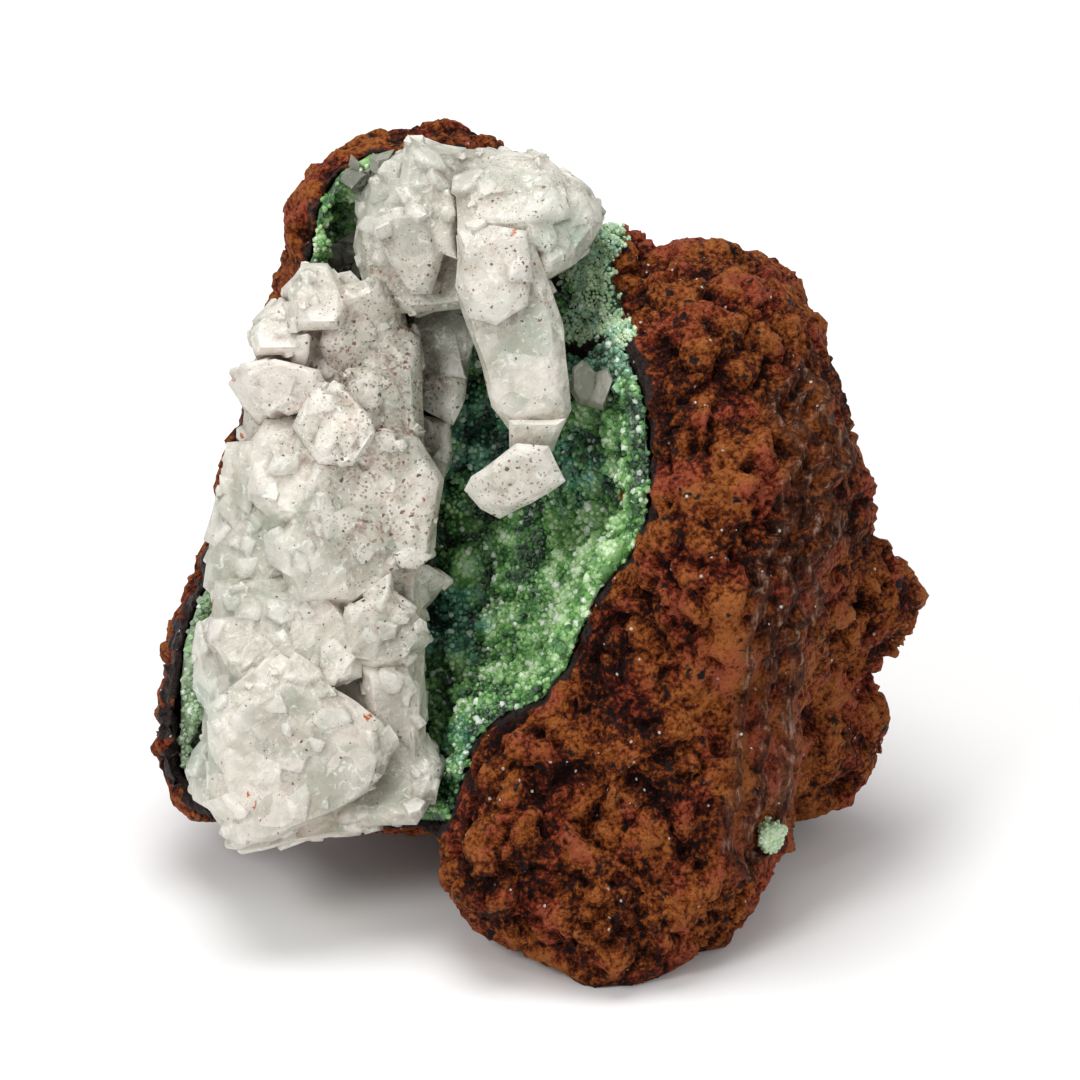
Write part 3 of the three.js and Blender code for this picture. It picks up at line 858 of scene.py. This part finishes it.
calcite.data.materials.clear()
refine(calcite.data, LONGEST_EDGE)
calcite.data.shade_smooth()
calcite.data.set_sharp_from_angle(angle=SHARP_FROM)
bends = hollows(calcite.data)
uneven(calcite.data, 4.5, 0.30)
# Places of grey calcite, and of painted shade in the cleft behind the bank.
GREY_AND_SHADED_CALCITE = [
    (-15, 37, 4, 0.8), (-17, 31, 3.5, 0.7), (-8, 38, 4, 0.8), (-3, 24, 6, 0.12), (-1, 31, 7, 0.4),
    (-10, 20, 5, 1), (-10.5, 13, 4, 1), (-9, 9, 3, 0.8), (-13, 29, 4, 0.3), (-12.5, -24, 4, 0.6),
    (-13.5, -16, 3.5, 0.55), (-12, -4.4, 2.6, 1), (-18.5, 27, 3, 0.4), (-14, 14, 4, 0.15),
]
GREEN_CALCITE = [
    (2.5, 30, 4, 0.7), (-35.5, -16, 3, 0.9), (-36, -22, 3, 0.8), (-1, 21, 4, 0.3), (-25, -1, 6, 0.15),
]
PINK_CALCITE = [
    (-4, 27, 3.5, 0.9), (-27, 15, 6, 0.6), (-22, 20, 5, 0.5), (-19, -6, 4, 0.3), (-16.5, -17, 3, 0.6),
    (-26, -28, 6, 0.3),
]
DUSTY_CALCITE = [
    (-15, 3, 6, 1), (-14, 15, 6, 1), (-17, 20, 5, 0.8), (-1, 25, 6, 0.5), (-12, 28, 5, 0.4),
    (-24, 12, 6, 0.3), (-16, -7, 5, 0.35), (-24, -22, 8, 0.2), (-2, 6, 5, 0.7), (-2, 34, 6, 0.35),
]
STAINS = [
    (-27.8, -26, 0.6, 1), (-28.6, -24.9, 0.4, 1), (-33, -7.4, 0.4, 1), (-32.4, -6.2, 0.35, 1),
    (-30.6, 16, 0.6, 0.8), (-30, 10.5, 0.5, 0.8), (-24.6, 13, 0.5, 0.6), (-30.5, -27, 0.4, 0.8),
    (-17, -17.6, 0.8, 0.7), (-2.6, 30.2, 0.7, 0.6), (5.6, 32.6, 0.6, 0.6),
]
calcite_seen = as_seen(mesh_points(calcite.data))
# Painted shade: the grey mask also greys the calcite that lies further back from the front, in the cleft
# and the depths of the vug.
deep = smooth_step(-calcite_seen[:, 2], -4, 2)
mask_attribute(calcite.data, "grey", np.clip(near_places(calcite_seen, GREY_AND_SHADED_CALCITE) + 0.5 * deep, 0, 1))
mask_attribute(calcite.data, "green", near_places(calcite_seen, GREEN_CALCITE))
mask_attribute(calcite.data, "pink", near_places(calcite_seen, PINK_CALCITE))
mask_attribute(calcite.data, "dust", np.clip(0.25 + near_places(calcite_seen, DUSTY_CALCITE), 0, 1))
mask_attribute(calcite.data, "stain", near_places(calcite_seen, STAINS))
mask_attribute(calcite.data, "seam", np.clip(bends, 0, 1))
# The ridge mask lightens the calcite's sharp edges in the material, as a painted highlight.
mask_attribute(calcite.data, "ridge", np.clip(-bends, 0, 1))


def crystals_at(tree, where, size):
    """A value from 0 to 1 for each irregular cell of about a size in mm, the same all over the cell."""
    made = node(tree, "TexVoronoi", Scale=1 / (size * mm))
    tree.links.new(where, made.inputs["Vector"])
    parts = tree.nodes.new("ShaderNodeSeparateColor")
    tree.links.new(made.outputs["Color"], parts.inputs["Color"])
    return parts.outputs["Red"]


def warped(tree, where, size, amount):
    """The place moved by up to an amount in mm, by noise with lumps of a size in mm."""
    shift = node(tree, "TexNoise", Scale=1 / (size * mm), Detail=2)
    tree.links.new(where, shift.inputs["Vector"])
    moved = node(tree, "VectorMath", operation="MULTIPLY_ADD")
    tree.links.new(shift.outputs["Color"], moved.inputs[0])
    moved.inputs[1].default_value = (amount * mm, amount * mm, amount * mm)
    tree.links.new(where, moved.inputs[2])
    return moved.outputs["Vector"]


def calcite_surface():
    """The look of all the calcite: cream to grey-green with white veils, brown specks and stains, painted
    highlights on its sharp edges, and grey that is partly painted shade where it lies back.
    """
    group = bpy.data.node_groups.new("calcite_surface", "ShaderNodeTree")
    group.interface.new_socket("where", in_out="INPUT", socket_type="NodeSocketVector")
    for mask in CALCITE_MASKS:
        group.interface.new_socket(mask, in_out="INPUT", socket_type="NodeSocketFloat")
    group.interface.new_socket("colour", in_out="OUTPUT", socket_type="NodeSocketColor")
    group.interface.new_socket("roughness", in_out="OUTPUT", socket_type="NodeSocketFloat")
    group.interface.new_socket("normal", in_out="OUTPUT", socket_type="NodeSocketVector")
    given = group.nodes.new("NodeGroupInput").outputs
    made = group.nodes.new("NodeGroupOutput").inputs
    where, dust = given["where"], given["dust"]
    clouds = noise_at(group, where, 4.5, 3, 0.6, 0.8)
    body = ramp(group, clouds, [
        (0.36, (0.345, 0.355, 0.275)),
        (0.47, (0.500, 0.480, 0.395)),
        (0.60, (0.715, 0.665, 0.580)),
    ])
    each_crystal = crystals_at(group, warped(group, where, 3.5, 2.2), 3.4)
    glassy = step(group, each_crystal, 0.45, 0.95)
    body = mixed(group, product(group, glassy, 0.5), body, (0.330, 0.345, 0.275))
    milky = step(group, each_crystal, 0.40, 0.05)
    body = mixed(group, product(group, milky, 0.5), body, (0.800, 0.750, 0.670))
    green = mixed(group, given["green"], body, (0.40, 0.53, 0.42))
    pink = mixed(group, given["pink"], green, (0.82, 0.73, 0.66))
    # The grey mask gives grey calcite, and on the large crystals also painted shade where they lie back.
    grey = mixed(group, given["grey"], pink, (0.40, 0.405, 0.335))
    smudges = step(group, noise_at(group, where, 1.7, 5, 0.75), 0.47, 0.66)
    smudge = product(group, product(group, smudges, dust), 0.55)
    smudged = mixed(group, smudge, grey, (0.400, 0.290, 0.225))
    veil_noise = noise_at(group, where, 1.3, 4, 0.7, 1.2)
    veils = product(group, step(group, veil_noise, 0.55, 0.66), 0.6)
    veiled = mixed(group, veils, smudged, (0.86, 0.84, 0.79))
    # Painted highlight: sharp edges are lightened, as where light catches them.
    painted_edge_highlights = mixed(group, product(group, given["ridge"], 0.5), veiled, (0.80, 0.77, 0.71))
    speck_places = warped(group, where, 0.35, 0.5)
    fine_size = product(group, dust, 0.36)
    fine = maths(group, "LESS_THAN", cells_at(group, speck_places, 0.42), fine_size)
    fine = product(group, fine, step(group, noise_at(group, where, 0.8, 2), 0.42, 0.54))
    coarse_size = product(group, noise_at(group, where, 2.0, 2), total(group, (dust, 0.22), 0.10))
    coarse = maths(group, "LESS_THAN", cells_at(group, speck_places, 1.2), coarse_size)
    seam_noise = noise_at(group, where, 0.9, 4, 0.7)
    in_seams = product(group, given["seam"], step(group, seam_noise, 0.42, 0.6))
    in_seams = product(group, in_seams, total(group, (dust, 0.6), 0.15))
    dirt = maths(group, "MAXIMUM", product(group, fine, 0.65), product(group, coarse, 0.9))
    dirt = maths(group, "MAXIMUM", dirt, in_seams)
    dirt_colour = ramp(group, noise_at(group, where, 1.4, 2), [
        (0.42, (0.045, 0.016, 0.010)),
        (0.60, (0.230, 0.070, 0.030)),
    ])
    specked = mixed(group, dirt, painted_edge_highlights, dirt_colour)
    stain = total(group, given["stain"], (noise_at(group, where, 0.8, 3, 0.7), 1.2), -0.6)
    stained = mixed(group, step(group, stain, 0.45, 0.6), specked, (0.42, 0.10, 0.012))
    group.links.new(stained, made["colour"])
    rough = total(group, (noise_at(group, where, 2.2, 3), 0.5), (dirt, 0.3), 0.10)
    group.links.new(rough, made["roughness"])
    chips = cells_at(group, where, 1.5)
    height = total(group, (noise_at(group, where, 1.0, 3, 0.65), 1.0), (veil_noise, 0.5), (chips, 0.6))
    group.links.new(bumped(group, height, 0.24), made["normal"])
    return group


def calcite_material(name, surface, transmission):
    material, tree, shader = new_material(name)
    look = tree.nodes.new("ShaderNodeGroup")
    look.node_tree = surface
    tree.links.new(node(tree, "TexCoord").outputs["Object"], look.inputs["where"])
    for mask in CALCITE_MASKS:
        tree.links.new(mask_of(tree, mask), look.inputs[mask])
    tree.links.new(look.outputs["colour"], shader.inputs["Base Color"])
    tree.links.new(look.outputs["roughness"], shader.inputs["Roughness"])
    tree.links.new(look.outputs["normal"], shader.inputs["Normal"])
    shader.inputs["IOR"].default_value = 1.6
    shader.inputs["Transmission Weight"].default_value = transmission
    return material


surface = calcite_surface()
milky = calcite_material("milky_calcite", surface, 0)
clear = calcite_material("clear_calcite", surface, 0.5)
calcite.data.materials.append(milky)
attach(calcite, "root")
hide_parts("calcite_crystals")


# The fine grey calcite: a sugar of small clear crystals over the druse at the top of the vug and on its
# left shoulder, grown after the druse and before the large crystals.
SUGAR_SIZE = (0.38, 0.85)  # mm
SUGAR_SPACING = 0.72  # mm
MOST_SUGAR = 1600


def spar_shape(rng):
    """A small skewed block of calcite, about 1 from its middle to its faces."""
    form = bmesh.new()
    bmesh.ops.create_cube(form, size=1.7)
    skew = Matrix(((1, 0.26, 0.26), (0.26, 1, 0.26), (0.26, 0.26, 1)))
    points = np.array([skew @ v.co * rng.uniform(0.82, 1.1) for v in form.verts])
    bmesh.ops.triangulate(form, faces=form.faces)
    faces = np.array([[v.index for v in f.verts] for f in form.faces])
    form.free()
    return points, faces


def on_covered_druse(middles, normals):
    return in_the_open(middles, normals) & (among_the_sugar(middles) > 0.45)


sugar_places = scattered(crust.data, SUGAR_SPACING, on_covered_druse, seed=31, most=MOST_SUGAR)
sugar = grain_mesh("calcite_sugar", sugar_places, SUGAR_SIZE, seed=31, shape=spar_shape, rise=0.5, big=0.25)
plain_masks(sugar.data, green=0.15, pink=0.0, dust=0.4, stain=0.0, seam=0.0, ridge=0.0)
sugar_tint = np.empty(len(sugar.data.vertices), dtype=np.float32)
sugar.data.attributes["tint"].data.foreach_get("value", sugar_tint)
mask_attribute(sugar.data, "grey", 0.25 + 0.6 * sugar_tint)
sugar.data.materials.append(clear)
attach(sugar, "root")
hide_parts("calcite_crystals")


# The small spar: a pair of little calcite crystals that grew alone on the right wall of the vug. They
# are partly clear, so the green of the druse behind them tints them.
spar = copy_of_node("calcite_small_spar", "small_spar")
refine(spar.data, LONGEST_EDGE)
spar.data.shade_smooth()
spar.data.set_sharp_from_angle(angle=SHARP_FROM)
uneven(spar.data, 1.5, 0.06)
plain_masks(spar.data, grey=0.3, green=0.1, pink=0.0, dust=0.3, stain=0.0, seam=0.0, ridge=0.0)
spar.data.materials.append(clear)
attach(spar, "root")
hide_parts("calcite_small_spar")
